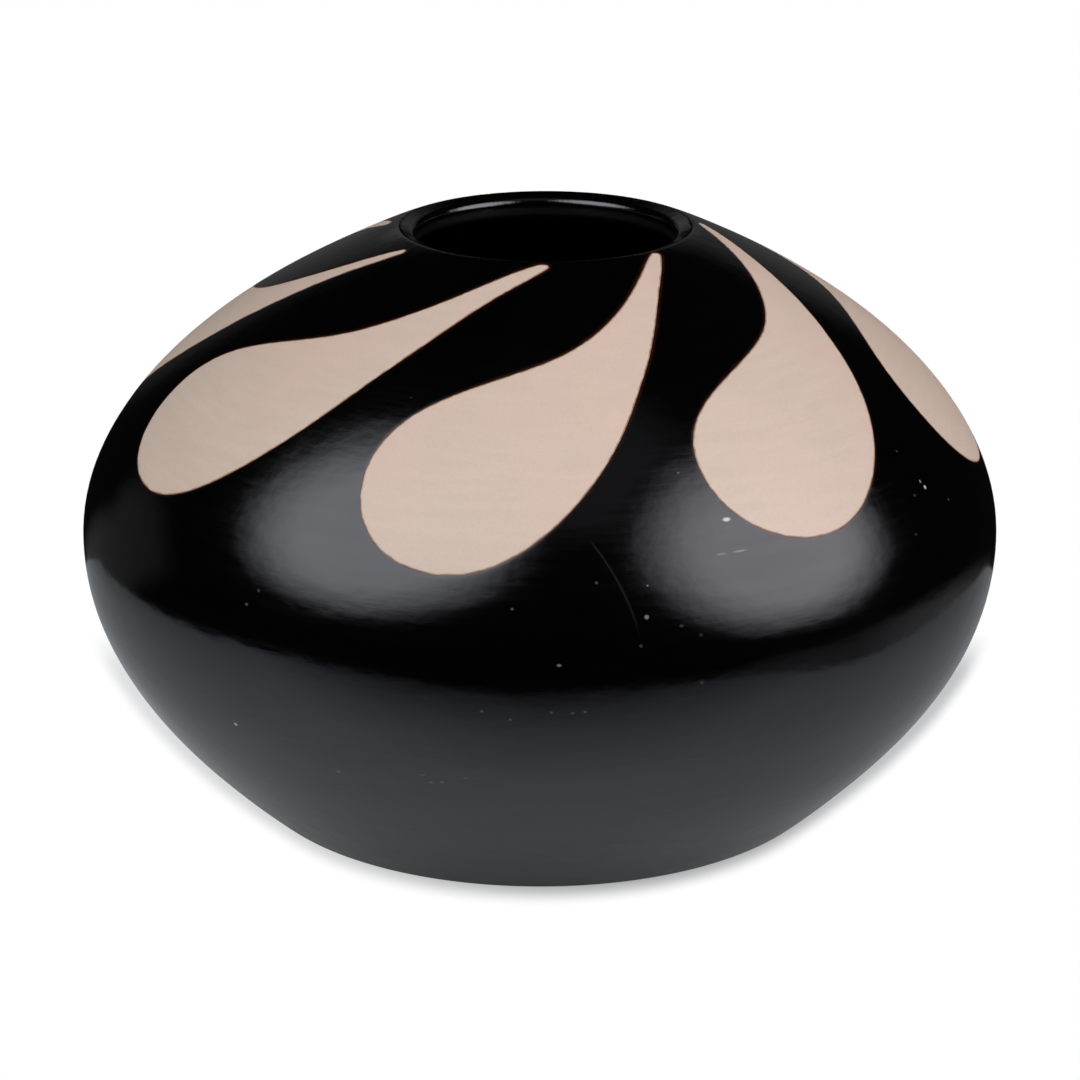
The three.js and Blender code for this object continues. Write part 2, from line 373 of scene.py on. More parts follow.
LIP_SLOPE = math.radians(LIP_DIP)
LIP_CREST = np.array([LIP_RADIUS, POT_HEIGHT - LIP_ROUND])
LIP_INNER = LIP_CREST - LIP_TOP * np.array([math.cos(LIP_SLOPE), math.sin(LIP_SLOPE)])
LIP_REACH = LIP_ROUND * math.pi / 2 + LIP_TOP  # from the lip's inmost point to its crest, where runs start
LIP_THICKNESS = (2 * LIP_ROUND + LIP_TOP * math.sin(math.radians(SHOULDER_SLOPE + LIP_DIP))
                 + LIP_FACE * math.cos(math.radians(SHOULDER_SLOPE)))


def lip_arc(middle, start, end, steps=LIP_STEPS):
    """Points of the lip's roundness about a middle; 90 degrees is its top and 180 its inmost point."""
    angle = np.radians(np.linspace(start, end, steps + 1))
    return middle + LIP_ROUND * np.stack([np.cos(angle), np.sin(angle)], axis=1)


def outer_curve():
    """Radius and height from the lip's inmost point, over its crest and down to the foot."""
    inner = lip_arc(LIP_INNER, 180, 90 + LIP_DIP)
    crest = lip_arc(LIP_CREST, 90 + LIP_DIP, 90 - SHOULDER_SLOPE)
    top = crest[-1]
    fall = math.radians(SHOULDER_SLOPE)
    rise = math.radians(FOOT_SLOPE)
    shoulder = bezier([
        top,
        top + SHOULDER_PULL * np.array([math.cos(fall), -math.sin(fall)]),
        (WIDEST_RADIUS, WIDEST_HEIGHT + BELLY_PULL_UP),
        (WIDEST_RADIUS, WIDEST_HEIGHT),
    ])
    belly = bezier([
        (WIDEST_RADIUS, WIDEST_HEIGHT),
        (WIDEST_RADIUS, WIDEST_HEIGHT - BELLY_PULL_DOWN),
        (FOOT_RADIUS + FOOT_PULL * math.cos(rise), FOOT_PULL * math.sin(rise)),
        (FOOT_RADIUS, 0),
    ])
    return np.vstack([inner, crest, shoulder[1:], belly[1:]])


CURVE = outer_curve()
CURVE_LENGTHS = np.linalg.norm(np.diff(CURVE, axis=0), axis=1)
CURVE_RUN = np.concatenate([[0], np.cumsum(CURVE_LENGTHS)]) - LIP_REACH
CURVE_ALONG = np.gradient(CURVE, CURVE_RUN, axis=0)
CURVE_ALONG /= np.linalg.norm(CURVE_ALONG, axis=1)[:, None]
LIP_RUN, FOOT_RUN = CURVE_RUN[0], CURVE_RUN[-1]
WIDEST_RUN = CURVE_RUN[-1 - CURVE_STEPS]

# On a flat plan whose radius grows like this, shapes keep their angles, so triangles stay well formed
CURVE_GROWTH = np.concatenate([[0], np.cumsum(CURVE_LENGTHS * 2 / (CURVE[1:, 0] + CURVE[:-1, 0]))])


def on_curve(runs, values):
    return np.stack([np.interp(runs, CURVE_RUN, column) for column in values.T], axis=-1)


def section(runs, depth=0.0):
    """Radius and height at those runs down the outer surface, and that deep under it."""
    place, along = on_curve(runs, CURVE), on_curve(runs, CURVE_ALONG)
    inward = np.stack([along[..., 1], -along[..., 0]], axis=-1)
    return place + inward * np.asarray(depth, float)[..., None]


def unevenness(angles, runs):
    """How far the hand-made surface lies under the true one, nothing at the lip and the foot."""
    sunk = sum(
        deep * (1 + np.sin(turns * angles + math.tau * runs / length + phase))
        for turns, length, deep, phase in WAVES)
    from_ends = np.clip(np.minimum(runs, FOOT_RUN - runs) / WAVE_FADE, 0, 1)
    return sunk * from_ends ** 2 * (3 - 2 * from_ends)


def in_space(angles, places):
    """Points in space from angles, 0 in front and plus to the right, and from radius and height."""
    radius, height = places[..., 0], places[..., 1]
    rise = np.clip((height - WIDEST_HEIGHT) / (POT_HEIGHT - WIDEST_HEIGHT), 0, None)
    x = radius * np.sin(angles) + MOUTH_OFFSET * rise ** 2
    return np.stack([x, -radius * np.cos(angles), height], axis=-1)


def on_pot(angles, runs, depth=0.0):
    return in_space(angles, section(runs, depth + unevenness(angles, runs)))


def drop_edges(tip, neck, low, head):
    """A drop's two edges from its tip to its lowest point, in degrees from that point and metres of run."""
    apex = (TIP_ANGLE, tip)
    upper = (TIP_ANGLE - TIP_WIDTH, tip - TIP_ROUND / 7)
    lower = (TIP_ANGLE - TIP_WIDTH / 7, tip + TIP_ROUND)
    left = [
        [apex, (TIP_ANGLE - TIP_WIDTH / 6, tip - TIP_ROUND / 5),
         (upper[0] + TIP_WIDTH * 0.4, upper[1] - TIP_ROUND / 5), upper],
        [upper, (UPPER_TAIL_ANGLE, tip + TAIL_BOW), (NECK_ANGLE + NECK_PULL, neck - NECK_BOW),
         (NECK_ANGLE, neck)],
        [(NECK_ANGLE, neck), (NECK_ANGLE - NECK_PULL, neck + CROWN_BOW), (-head, neck + CROWN_FALL),
         (-head, low - CHEEK_RISE)],
        [(-head, low - CHEEK_RISE), (-head, low - CHIN_BOW), (-CHIN_LEFT, low), (0, low)],
    ]
    right = [
        [apex, (TIP_ANGLE + TIP_WIDTH / 6, tip + TIP_ROUND / 5),
         (lower[0] + TIP_WIDTH / 3, lower[1] - TIP_ROUND / 3), lower],
        [lower, (LOWER_TAIL_ANGLE, tip + LOWER_BOW), (WAIST_ANGLE + WAIST_PULL_UP, DROP_WAIST - WAIST_BOW),
         (WAIST_ANGLE, DROP_WAIST)],
        [(WAIST_ANGLE, DROP_WAIST), (WAIST_ANGLE - WAIST_PULL_DOWN, DROP_WAIST + CHEEK_BOW),
         (CHIN_RIGHT, low), (0, low)],
    ]
    return [np.vstack([bezier(curve)[:-1] for curve in edge] + [[(0, low)]]) for edge in (left, right)]


def drop_outline(azimuth, tip, neck, low, head, lean):
    """The outline as angles in radians and runs, from the tip round the left side, finest at the tip."""
    left, right = drop_edges(tip * DROP_TIP, neck * DROP_NECK, low * DROP_LOW, head)
    points = np.vstack([left, right[-2::-1]])
    tail = np.clip((points[:, 0] - NECK_ANGLE) / (TIP_ANGLE - NECK_ANGLE), 0, None)
    angles = np.radians(azimuth + points[:, 0] + lean * tail ** 2)
    runs = points[:, 1]
    lengths = np.linalg.norm(np.diff(on_pot(angles, runs), axis=0), axis=1)
    along = np.concatenate([[0], np.cumsum(lengths)])
    places = [0.0]
    while places[-1] < along[-1]:
        from_tip = min(places[-1], along[-1] - places[-1])
        places.append(places[-1] + min(OUTLINE_STEP, TIP_STEP * (1 + from_tip / TIP_STEP / STEP_GROWTH)))
    places = np.array(places[:-1]) * along[-1] / places[-1]
    return np.interp(places, along, angles), np.interp(places, along, runs)


def widened(angles, runs, margin):
    """A closed outline moved outward over the surface by the margin."""
    radius = section(runs)[:, 0]
    turn = (np.roll(angles, -1) - np.roll(angles, 1)) * radius
    fall = np.roll(runs, -1) - np.roll(runs, 1)
    size = np.hypot(turn, fall)
    return angles - margin * fall / size / radius, runs + margin * turn / size


def on_plan(angles, runs):
    """Flat points that the outer surface is spread out to for meshing, seen from above."""
    reach = np.exp(np.interp(runs, CURVE_RUN, CURVE_GROWTH))
    return np.stack([reach * np.sin(angles), -reach * np.cos(angles)], axis=1)


class Shoulder:
    """One fine mesh of the surface from the lip to the widest ring, which follows every drop's loops."""

    def __init__(self):
        self.around = np.arange(TURNS) * math.tau / TURNS
        outlines = [drop_outline(*drop) for drop in DROPS]
        loops = [
            (d, k, *widened(*outline, LOOPS[k][0]))
            for d, outline in enumerate(outlines) for k in range(len(LOOPS))
        ]
        self.loops = {}
        count = 0
        for d, k, angles, _ in loops:
            self.loops[d, k] = np.arange(count, count + len(angles))
            count += len(angles)
        loop_angles = np.concatenate([angles for *_, angles, _ in loops])
        loop_runs = np.concatenate([runs for *_, runs in loops])
        self.kinds = np.concatenate([np.full(len(angles), k) for _, k, angles, _ in loops])
        grid_angles, grid_runs = self.grid(on_pot(loop_angles, loop_runs))
        self.angles = np.concatenate([loop_angles, grid_angles])
        self.runs = np.concatenate([loop_runs, grid_runs])
        self.kinds = np.concatenate([self.kinds, np.full(len(grid_angles), -1)])
        self.mouth = count + np.arange(TURNS)
        self.mesh()
        self.measure_rim([on_pot(*outline) for outline in outlines])

    def grid(self, taken):
        """Rings of points in nearly square cells, without those that crowd a loop."""
        growth = np.interp(WIDEST_RUN, CURVE_RUN, CURVE_GROWTH)
        rings = round(growth * TURNS / math.tau)
        ring_runs = np.interp(np.linspace(0, growth, rings + 1), CURVE_GROWTH, CURVE_RUN)
        ring_runs[-1] = WIDEST_RUN
        between = (ring_runs[1:] + ring_runs[:-1]) / 2
        ring_runs = np.sort(np.concatenate([ring_runs, between[between < LIP_FINE]]))
        angles = np.tile(self.around, len(ring_runs))
        runs = np.repeat(ring_runs, TURNS)
        tree = search_tree(taken)
        free = np.array([tree.find(place)[2] > KEEP_CLEAR for place in on_pot(angles, runs)])
        return angles[free], runs[free]

    def mesh(self):
        """Triangles of the whole shoulder, and for each the drop it lies in and the loops round it."""
        plan = [Vector(place) for place in on_plan(self.angles, self.runs)]
        faces = [self.mouth.tolist()] + [ring.tolist() for ring in self.loops.values()]
        names = [None] + list(self.loops)
        _, _, triangles, origins, _, inside = delaunay_2d_cdt(plan, [], faces, 0, SAME_PLAN_POINT, True)
        source = np.array([origin[0] for origin in origins])
        triangles = [source[list(triangle)] for triangle in triangles]
        self.clay, self.pocket, self.slip = [], [], {d: [] for d in range(len(DROPS))}
        for triangle, holders in zip(triangles, inside):
            held = {names[holder] for holder in holders}
            if None in held:
                continue
            drop = next((name[0] for name in held), None)
            if (drop, SLIP_LOOP) in held:
                self.slip[drop].append(triangle)
            if (drop, POCKET_LOOP) in held:
                self.pocket.append(triangle)
            else:
                self.clay.append(triangle)

    def measure_rim(self, outlines):
        """Distance from each point to the nearest outline."""
        tree = search_tree(np.concatenate(outlines))
        points = on_pot(self.angles, self.runs)
        self.rim = np.array([min(tree.find(place)[2], RIM_REACH) for place in points])
        margins = np.array([abs(loop[0]) for loop in LOOPS] + [0])
        self.rim = np.where(self.kinds >= 0, margins[self.kinds], self.rim)

    def layer(self, depth):
        """The shoulder's points at a depth, one number or one for each kind of loop and for the grid."""
        if np.ndim(depth):
            depth = np.append(depth, 0)[self.kinds]
        return on_pot(self.angles, self.runs, depth)


class Piece:
    """Collects points, faces and surface coordinates, then makes one closed, shaded mesh of them."""

    def __init__(self, name):
        self.name = name
        self.points, self.faces, self.rim, self.lay = [], [], [], []
        self.count = 0

    def add(self, points, faces, angles, runs, rim):
        self.points.append(points)
        self.faces += [[self.count + i for i in face] for face in faces]
        self.lay.append(np.stack([LAY_RADIUS * np.sin(angles), -LAY_RADIUS * np.cos(angles), runs], axis=1))
        self.rim.append(rim)
        self.count += len(points)
        return self.count - len(points)

    def wall(self, upper, lower):
        """A band of faces between two closed loops of points."""
        turned = np.roll(upper, -1), np.roll(lower, -1)
        self.faces += [list(quad) for quad in zip(upper, lower, turned[1], turned[0])]

    def build(self, material):
        mesh = bpy.data.meshes.new(self.name)
        mesh.from_pydata(np.concatenate(self.points).tolist(), [], self.faces)
        mesh.attributes.new("rim", "FLOAT", "POINT").data.foreach_set("value", np.concatenate(self.rim))
        lay = mesh.attributes.new("lay", "FLOAT_VECTOR", "POINT")
        lay.data.foreach_set("vector", np.concatenate(self.lay).ravel())
        edit = bmesh.new()
        edit.from_mesh(mesh)
        loose = [vertex for vertex in edit.verts if not vertex.link_faces]
        bmesh.ops.delete(edit, geom=loose, context="VERTS")
        bmesh.ops.remove_doubles(edit, verts=edit.verts, dist=SAME_POINT)
        bmesh.ops.recalc_face_normals(edit, faces=edit.faces)
        edit.to_mesh(mesh)
        edit.free()
        mesh.shade_smooth()
        mesh.set_sharp_from_angle(angle=math.radians(SHARP_ANGLE))
        mesh.materials.append(material)
        piece = bpy.data.objects.new(self.name, mesh)
        bpy.context.scene.collection.objects.link(piece)
        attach(piece, "root")
        return piece


def inner_curve():
    """Radius and height from the lip's inmost point, down the inner wall and over the floor to the axis."""
    face = lip_arc(LIP_INNER, 180, 180, 0)
    lip = lip_arc(LIP_INNER - np.array([0, LIP_FACE]), 180, 270 - SHOULDER_SLOPE, LIP_UNDER_STEPS)
    start = LIP_ROUND * math.radians(SHOULDER_SLOPE)
    runs = np.linspace(start, FOOT_RUN, WALL_RINGS)[1:]
    grown = np.clip(runs / WALL_RUN, 0, 1)
    wall = section(runs, LIP_THICKNESS + (WALL_THICKNESS - LIP_THICKNESS) * grown * (2 - grown))
    wall = wall[wall[:, 1] > FLOOR_THICKNESS + FLOOR_BLEND / 2]
    above, end = wall[-2:]
    corner = end + (end - above) * (end[1] - FLOOR_THICKNESS) / (above[1] - end[1])
    flat = np.array([corner[0] - FLOOR_BLEND, FLOOR_THICKNESS])
    blend = rounded(end, corner, flat, FLOOR_BLEND_STEPS)[1:]
    return np.vstack([face, lip, wall, blend, to_axis(flat[0], FLOOR_THICKNESS)])


def foot_curve():
    """Radius and height over the foot's worn edge and across the flat base to the axis."""
    under = np.array([FOOT_RADIUS - FOOT_EDGE, 0])
    corner = np.array([FOOT_RADIUS, 0])
    top = section(np.array([FOOT_RUN - FOOT_EDGE]))[0]
    return np.vstack([rounded(top, corner, under, FOOT_EDGE_STEPS), to_axis(under[0], 0)])


def turned(piece, around, places, first_run, direction):
    """Adds a turned surface to a piece, from places of radius and height."""
    steps = np.linalg.norm(np.diff(places, axis=0), axis=1)
    runs = first_run + direction * np.concatenate([[0], np.cumsum(steps)])
    angles = np.tile(around, len(places))
    rings(piece, around, runs, in_space(angles, np.repeat(places, len(around), axis=0)))


def rings(piece, around, runs, points):
    """Adds rings of points, one ring for each run, joined by quads."""
    angles = np.tile(around, len(runs))
    faces = ring_quads(len(runs), len(around))
    piece.add(points, faces, angles, np.repeat(runs, len(around)), np.full(len(angles), RIM_REACH))


def make_body(shoulder, material):
    body = Piece("clay_body")
    surface = shoulder.angles, shoulder.runs, shoulder.rim
    top = body.add(shoulder.layer([loop[1] for loop in LOOPS]), shoulder.clay, *surface)
    under = body.add(shoulder.layer(POCKET_DEPTH), shoulder.pocket, *surface)
    for d in range(len(DROPS)):
        ring = shoulder.loops[d, POCKET_LOOP]
        body.wall(ring + top, ring + under)
    around = shoulder.around
    belly_runs = np.linspace(WIDEST_RUN, FOOT_RUN - FOOT_EDGE, BELLY_RINGS)
    belly = on_pot(np.tile(around, BELLY_RINGS), np.repeat(belly_runs, TURNS))
    rings(body, around, belly_runs, belly)
    turned(body, around, foot_curve(), belly_runs[-1], 1)
    turned(body, around, inner_curve(), LIP_RUN, -1)
    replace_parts(body.build(material), "vase_body")


def make_slip(shoulder, d, material):
    slip = Piece(f"slip_layer_{d + 1}")
    surface = shoulder.angles, shoulder.runs, shoulder.rim
    top = slip.add(shoulder.layer([loop[2] for loop in LOOPS]), shoulder.slip[d], *surface)
    under = slip.add(shoulder.layer(SLIP_THICKNESS), shoulder.slip[d], *surface)
    ring = shoulder.loops[d, SLIP_LOOP]
    slip.wall(ring + top, ring + under)
    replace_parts(slip.build(material), f"slip_drop_{d + 1}")


def srgb(*levels):
    """A linear colour from its levels in a picture, 0 to 255."""
    shares = [level / 255 for level in levels]
    return tuple(s / 12.92 if s <= 0.04045 else ((s + 0.055) / 1.055) ** 2.4 for s in shares) + (1,)


class Recipe:
    """A node tree, built with one short call for each node."""

    def __init__(self, tree):
        self.tree = tree
        tree.nodes.clear()

    def node(self, kind, inputs=(), **settings):
        made = self.tree.nodes.new("ShaderNode" + kind)
        for name, value in settings.items():
            setattr(made, name, value)
        for key, value in dict(inputs).items():
            if isinstance(value, bpy.types.NodeSocket):
                self.tree.links.new(value, made.inputs[key])
            else:
                made.inputs[key].default_value = value
        return made

    def math(self, operation, first, *others):
        """One operation on two values or more, from left to right."""
        for other in others or (0.0,):
            first = self.node("Math", {0: first, 1: other}, operation=operation).outputs[0]
        return first

    def plus(self, value, extra, share):
        """The value and that share of something extra."""
        return self.math("ADD", value, self.math("MULTIPLY", extra, share))

    def stretch(self, vector, scales):
        return self.node("VectorMath", {0: vector, 1: scales}, operation="MULTIPLY").outputs[0]

    def measure(self, operation, first, second=(0, 0, 0)):
        """One number from two vectors, such as their distance."""
        return self.node("VectorMath", {0: first, 1: second}, operation=operation).outputs["Value"]

    def noise(self, vector, scale, detail=2.0, roughness=0.5):
        settings = {"Vector": vector, "Scale": scale, "Detail": detail, "Roughness": roughness}
        return self.node("TexNoise", settings).outputs["Fac"]

    def spread(self, value, low, high, start=0.0, end=1.0, kind="SMOOTHSTEP"):
        """Start where the value is at low, end where it is at high, and between them in between."""
        limits = {"Value": value, "From Min": low, "From Max": high, "To Min": start, "To Max": end}
        return self.node("MapRange", limits, interpolation_type=kind).outputs["Result"]

    def blend(self, share, first, second):
        return self.node("Mix", {0: share, 6: first, 7: second}, data_type="RGBA").outputs[2]

    def attribute(self, name, output):
        return self.node("Attribute", attribute_name=name).outputs[output]

    def textures(self, vector, table):
        """The height of each texture in a table, from 0 to 1, and the normal that all of them bend."""
        heights, bent = {}, {}
        for name, (finer, scale, detail, roughness, depth) in table.items():
            heights[name] = self.noise(self.stretch(vector, (1, 1, finer)), scale, detail, roughness)
            bump = {"Strength": 1.0, "Distance": depth, "Height": heights[name]}
            bent = {"Normal": self.node("Bump", bump | bent).outputs[0]}
        return heights, bent["Normal"]

    def surface(self, shader):
        kind = "OutputWorld" if shader.node.type == "BACKGROUND" else "OutputMaterial"
        self.node(kind, {"Surface": shader})


def new_material(name):
    material = bpy.data.materials.new(name)
    material.use_nodes = True
    return material, Recipe(material.node_tree)


def lay_point(angle, run):
    """A point of the lay attribute, from degrees round the pot and the run down from the lip."""
    turn = math.radians(angle)
    return LAY_RADIUS * math.sin(turn), -LAY_RADIUS * math.cos(turn), run


def single_specks(m, lay):
    """The specks and short chips in SPECKS."""
    made = []
    for angle, run, length, height, strength in SPECKS:
        x, y, z = lay_point(angle, run)
        flat = m.stretch(lay, (1, 1, length / height))
        away = m.measure("DISTANCE", flat, (x, y, z * length / height))
        made.append(m.spread(away, length, length * SPECK_CORE, 0, strength))
    return m.math("MAXIMUM", *made)


def strewn_specks(m, lay):
    """Specks of dust strewn over the pot, most of them faint."""
    cells = m.node("TexVoronoi", {"Vector": lay, "Scale": STREWN_SCALE})
    first, second, _ = m.node("SeparateColor", {0: cells.outputs["Color"]}).outputs
    chosen = m.math("GREATER_THAN", first, STREWN_LEAST)
    size = m.spread(cells.outputs["Distance"], *STREWN_SIZE)
    return m.math("MULTIPLY", chosen, m.spread(second, *STREWN_STRENGTH), size)


def thin_scratch(m, lay):
    """The faint scratch on the front, a shallow curve down the surface."""
    x, y, run = m.node("SeparateXYZ", {0: lay}).outputs
    below = m.math("SUBTRACT", run, SCRATCH_TOP)
    bend = m.plus(SCRATCH_LEAN, below, -SCRATCH_BEND)
    line = m.math("ADD", m.math("MULTIPLY", below, bend), SCRATCH_SIDE)
    away = m.math("ABSOLUTE", m.math("SUBTRACT", x, line))
    start = m.spread(below, 0, SCRATCH_START)
    end = m.spread(below, SCRATCH_LENGTH, SCRATCH_LENGTH / 2)
    front = m.math("LESS_THAN", y, 0.0)
    return m.math("MULTIPLY", start, end, front, m.spread(away, SCRATCH_WIDTH, 0, 0, SCRATCH_STRENGTH))


def ragged_rim(m, lay, scale, depth):
    """The distance from the nearest outline, made uneven."""
    return m.plus(m.attribute("rim", "Fac"), m.math("SUBTRACT", m.noise(lay, scale, 3), 0.5), depth)


def burnished_clay():
    material, m = new_material("burnished_clay")
    lay = m.attribute("lay", "Vector")
    run = m.node("SeparateXYZ", {0: lay}).outputs[2]
    heights, normal = m.textures(lay, CLAY_TEXTURES)
    dust = m.math("MAXIMUM", single_specks(m, lay), strewn_specks(m, lay), thin_scratch(m, lay))
    inside = m.spread(run, -LIP_REACH, -LIP_REACH - DULL_REACH)
    # painted shade: deeper inside the mouth the clay turns back to black
    painted_inside_shade = m.spread(run, -LIP_REACH - DULL_REACH, -LIP_REACH - INSIDE_SHADE_REACH)
    line = m.spread(ragged_rim(m, lay, *LINE_RAGGED), m.spread(run, *LINE_WIDTH), LINE_FULL)

    black = m.blend(m.noise(lay, *CLOUD_PATTERN), srgb(*CLAY_BLACK), srgb(*CLAY_CLOUD))
    clay = m.blend(m.math("MULTIPLY", line, line), black, srgb(*CLAY_LINE))
    clay = m.blend(inside, clay, srgb(*CLAY_INSIDE))
    # painted shade deeper inside the mouth, in black
    clay = m.blend(painted_inside_shade, clay, black)
    clay = m.blend(dust, clay, srgb(*CLAY_DUST))

    streaks = m.plus(heights["strokes"], heights["fine strokes"], FINE_SHARE)
    rough = m.spread(streaks, *CLAY_ROUGHNESS, "LINEAR")
    rough = m.plus(m.plus(rough, inside, INSIDE_ROUGHNESS), dust, DUST_ROUGHNESS)
    mirror = m.math("ADD", m.spread(heights["strokes"], *CLAY_MIRROR, "LINEAR"), m.spread(run, *LIP_MIRROR))
    shader = m.node("BsdfPrincipled", {
        "Base Color": clay, "Roughness": rough, "IOR": 1.5,
        "Specular IOR Level": m.plus(mirror, inside, INSIDE_MIRROR),
        "Specular Tint": CLAY_TINT, "Normal": normal,
    })
    m.surface(shader.outputs[0])
    return material


def pale_slip():
    material, m = new_material("pale_slip")
    lay = m.attribute("lay", "Vector")
    heights, normal = m.textures(lay, SLIP_TEXTURES)
    clouds = m.noise(lay, *SLIP_CLOUD_PATTERN)
    slip = m.blend(m.spread(heights["strokes"], *SLIP_STROKE_SHARE), srgb(*SLIP_DARK), srgb(*SLIP_PALE))
    slip = m.blend(m.spread(clouds, *SLIP_CLOUD_SHARE), slip, srgb(*SLIP_CLOUD))
    slip = m.blend(m.spread(heights["grain"], *SLIP_GRAIN_SHARE), slip, srgb(*SLIP_GRAIN))
    edge = m.spread(ragged_rim(m, lay, *SLIP_RAGGED), SLIP_EDGE_WIDTH, 0)
    shader = m.node("BsdfPrincipled", {
        "Base Color": m.blend(edge, slip, srgb(*SLIP_EDGE)),
        "Roughness": m.spread(heights["strokes"], *SLIP_ROUGHNESS, "LINEAR"),
        "IOR": 1.5, "Specular IOR Level": SLIP_MIRROR, "Normal": normal,
    })
    m.surface(shader.outputs[0])
    return material


def stage_object(name, points, faces, material, rays):
    """A mesh of the studio, seen only by the kinds of ray that are named."""
    mesh = bpy.data.meshes.new(name)
    mesh.from_pydata(points, [], faces)
    mesh.materials.append(material)
    made = bpy.data.objects.new(name, mesh)
    bpy.context.scene.collection.objects.link(made)
    for ray in ("camera", "diffuse", "glossy", "transmission", "volume_scatter", "shadow"):
        setattr(made, "visible_" + ray, ray in rays)
    return made


def shade_outline():
    """The outline of the pot's painted shade on the table, and the way out from each of its points."""
    angles = np.arange(SHADE_TURNS) * math.tau / SHADE_TURNS
    runs = np.linspace(0, FOOT_RUN, SHADE_HEIGHTS)
    points = on_pot(np.tile(angles, SHADE_HEIGHTS), np.repeat(runs, SHADE_TURNS))
    # the place the painted shade is cast from; no lamp stands there
    light = np.array(PAINTED_SHADE_PLACE)
    flat = light + (points - light) * (light[2] / (light[2] - points[:, 2]))[:, None]
    ways = np.stack([np.sin(angles), -np.cos(angles)], axis=1)
    return flat[np.argmax(flat[:, :2] @ ways.T, axis=0), :2], ways * SHADE_WIDTH


def make_floor():
    """White paper, which the camera sees as pure white but for the pot's shadow: near the pot a painted
    shade lets the lit paper and its real shadow show.
    """
    outline, ways = shade_outline()
    steps = np.append(np.linspace(0, 1, SHADE_RINGS), FLOOR_REACH / SHADE_WIDTH[0])
    points = np.vstack([outline + ways * step for step in steps])
    points = np.column_stack([points, np.zeros(len(points))]).tolist()
    faces = [list(range(SHADE_TURNS))] + ring_quads(len(steps), SHADE_TURNS)
    material, m = new_material("floor")
    path = m.node("LightPath")
    reflected = m.math("MAXIMUM", path.outputs["Is Glossy Ray"], path.outputs["Is Transmission Ray"])
    place = m.node("NewGeometry").outputs["Position"]
    away = m.measure("LENGTH", place)
    x, y, _ = m.node("SeparateXYZ", {0: place}).outputs
    # painted shade: how far the white gives way to the lit paper along the pot's outline
    depth = m.math("MULTIPLY", m.spread(x, *SHADE_DEPTH), m.spread(away, *SHADE_END),
                   m.spread(m.attribute("out", "Fac"), 1, 0))
    seen = m.math("MULTIPLY", path.outputs["Is Camera Ray"], m.math("SUBTRACT", 1.0, depth))
    # In reflections the paper's grey is painted light: a pool of light that dims towards the front, and
    # painted shade close under the pot
    bowed = m.plus(y, m.math("ABSOLUTE", x), TABLE_BOW)
    from_pool = m.measure("DISTANCE", place, POOL_MIDDLE)
    lit = m.math("MULTIPLY", m.spread(bowed, *TABLE_FRONT, 0, 1, "LINEAR"),
                 m.spread(from_pool, *POOL_LIGHT, "LINEAR"), m.spread(away, *FOOT_LIGHT, "LINEAR"))
    share = m.plus(seen, m.math("MULTIPLY", reflected, lit), TABLE_GLOW)
    shade = m.spread(reflected, 0, 1, PAPER, m.math("MULTIPLY", lit, PAPER), "LINEAR")
    grey = m.node("CombineXYZ", {0: shade, 1: shade, 2: shade}).outputs[0]
    paper = m.node("BsdfDiffuse", {"Color": m.stretch(grey, TABLE_TINT)}).outputs[0]
    white = m.node("Emission", {"Color": (1, 1, 1, 1), "Strength": 1.0}).outputs[0]
    m.surface(m.node("MixShader", {0: share, 1: paper, 2: white}).outputs[0])
    material.cycles.emission_sampling = "NONE"
    floor = stage_object("floor", points, faces, material,
                         ("camera", "diffuse", "glossy", "transmission", "shadow"))
    out = floor.data.attributes.new("out", "FLOAT", "POINT")
    out.data.foreach_set("value", np.repeat(steps, SHADE_TURNS))


def make_dim_room():
    """Dark grey cards beyond the table and over the set, which only reflections see; they glow dimly as
    painted room light, brighter in some parts.
    """
    material, m = new_material("dark_card")
    place = m.node("NewGeometry").outputs["Position"]
    way = m.node("VectorMath", {0: place}, operation="NORMALIZE").outputs[0]
    parts = []
    for middle, end, full, extra in ROOM_PARTS:
        parts.append(m.spread(m.measure("DOT_PRODUCT", way, middle), end, full, 0, extra))
    sideways = m.math("ABSOLUTE", m.node("SeparateXYZ", {0: way}).outputs[0])
    parts[0] = m.math("MULTIPLY", parts[0], m.spread(sideways, *DARK_GAP))
    for middle, end, full, extra in SIDE_PARTS:
        parts.append(m.spread(m.measure("DISTANCE", place, middle), end, full, 0, extra))
    glow = m.math("ADD", m.math("MAXIMUM", *parts), ROOM_GLOW)
    m.surface(m.node("Emission", {"Strength": glow}).outputs[0])
    material.cycles.emission_sampling = "NONE"
    edge = np.array(TABLE_EDGE)
    turns = len(edge)
    outward = edge / np.linalg.norm(edge, axis=1)[:, None]
    levels = [np.column_stack([edge, np.full(turns, CARD_RISE)])]
    for up in np.radians(np.linspace(0, ROOM_TOP, ROOM_LEVELS)):
        height = np.full(turns, CARD_RISE + ROOM_REACH * math.sin(up))
        levels.append(np.column_stack([outward * ROOM_REACH * math.cos(up), height]))
    top = list(range((len(levels) - 1) * turns, len(levels) * turns))
    faces = ring_quads(len(levels), turns) + [top]
    stage_object("dim_room", np.vstack(levels).tolist(), faces, material, ("glossy",))


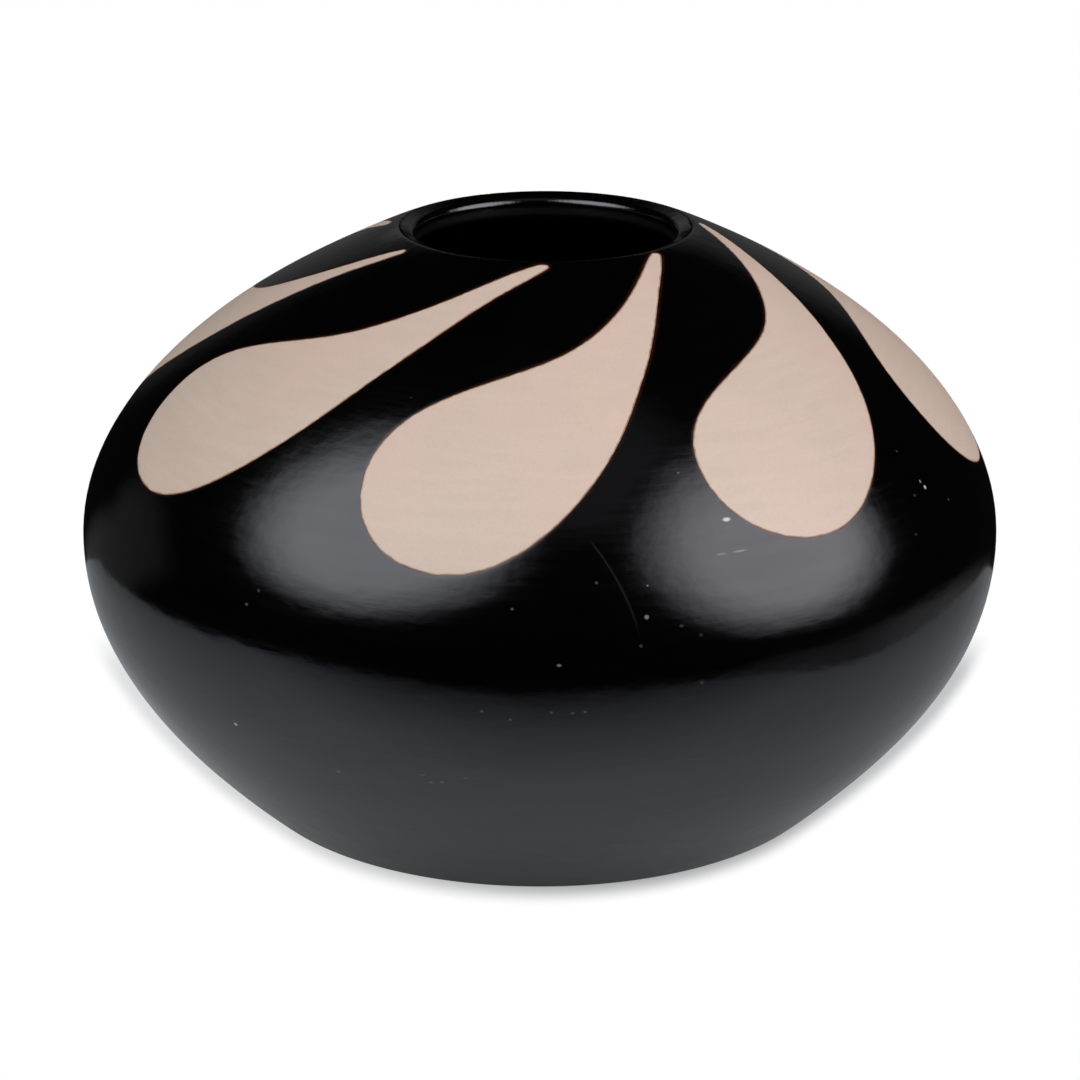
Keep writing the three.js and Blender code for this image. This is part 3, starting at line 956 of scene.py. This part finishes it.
def make_softbox(name, azimuth, height, across, up, strength, color):
    """A round glowing panel that faces the pot and fades towards its edge."""
    material, m = new_material(name)
    place = m.node("TexCoord").outputs["Object"]
    front = m.math("SUBTRACT", 1.0, m.node("NewGeometry").outputs["Backfacing"])
    glow = m.math("MULTIPLY", front, m.spread(m.measure("LENGTH", place), 1, SOFTBOX_CORE, 0, strength))
    m.surface(m.node("Emission", {"Color": color, "Strength": glow}).outputs[0])
    angles = np.arange(SOFTBOX_CORNERS) * math.tau / SOFTBOX_CORNERS
    corners = np.column_stack([np.cos(angles), np.sin(angles), np.zeros(SOFTBOX_CORNERS)]).tolist()
    box = stage_object(name, corners, [list(range(SOFTBOX_CORNERS))], material,
                       ("diffuse", "glossy", "transmission", "shadow"))
    turn, lift = math.radians(azimuth), math.radians(height)
    direction = Vector((math.sin(turn) * math.cos(lift), -math.cos(turn) * math.cos(lift), math.sin(lift)))
    box.location = Vector(LIGHT_TARGET) + direction * LIGHT_DISTANCE
    box.rotation_euler = (-direction).to_track_quat("Z", "Y").to_euler()
    box.scale = [LIGHT_DISTANCE * math.tan(math.radians(reach)) for reach in (across, up, up)]


def make_world():
    world = bpy.data.worlds.new("studio")
    world.use_nodes = True
    m = Recipe(world.node_tree)
    path = m.node("LightPath")
    rays = (path.outputs[f"Is {kind} Ray"] for kind in ("Camera", "Glossy", "Transmission"))
    seen = m.math("MAXIMUM", *rays)
    strength = m.spread(seen, 0, 1, AMBIENT, 1, "LINEAR")
    m.surface(m.node("Background", {"Color": (1, 1, 1, 1), "Strength": strength}).outputs[0])
    world.cycles.sampling_method = "NONE"
    bpy.context.scene.world = world


def make_camera():
    camera = bpy.data.objects.new("camera", bpy.data.cameras.new("camera"))
    camera.data.sensor_width = CAMERA_SENSOR
    camera.data.lens = CAMERA_LENS
    camera.location = CAMERA_PLACE
    aim = Vector(CAMERA_TARGET) - Vector(CAMERA_PLACE)
    camera.rotation_euler = aim.to_track_quat("-Z", "Y").to_euler()
    bpy.context.scene.collection.objects.link(camera)
    bpy.context.scene.camera = camera


shoulder = Shoulder()
make_body(shoulder, burnished_clay())
slip_material = pale_slip()
for drop in range(len(DROPS)):
    make_slip(shoulder, drop, slip_material)

make_floor()
make_dim_room()
for softbox in SOFTBOXES:
    make_softbox(*softbox)
make_world()
make_camera()
bpy.context.scene.view_settings.view_transform = "Standard"
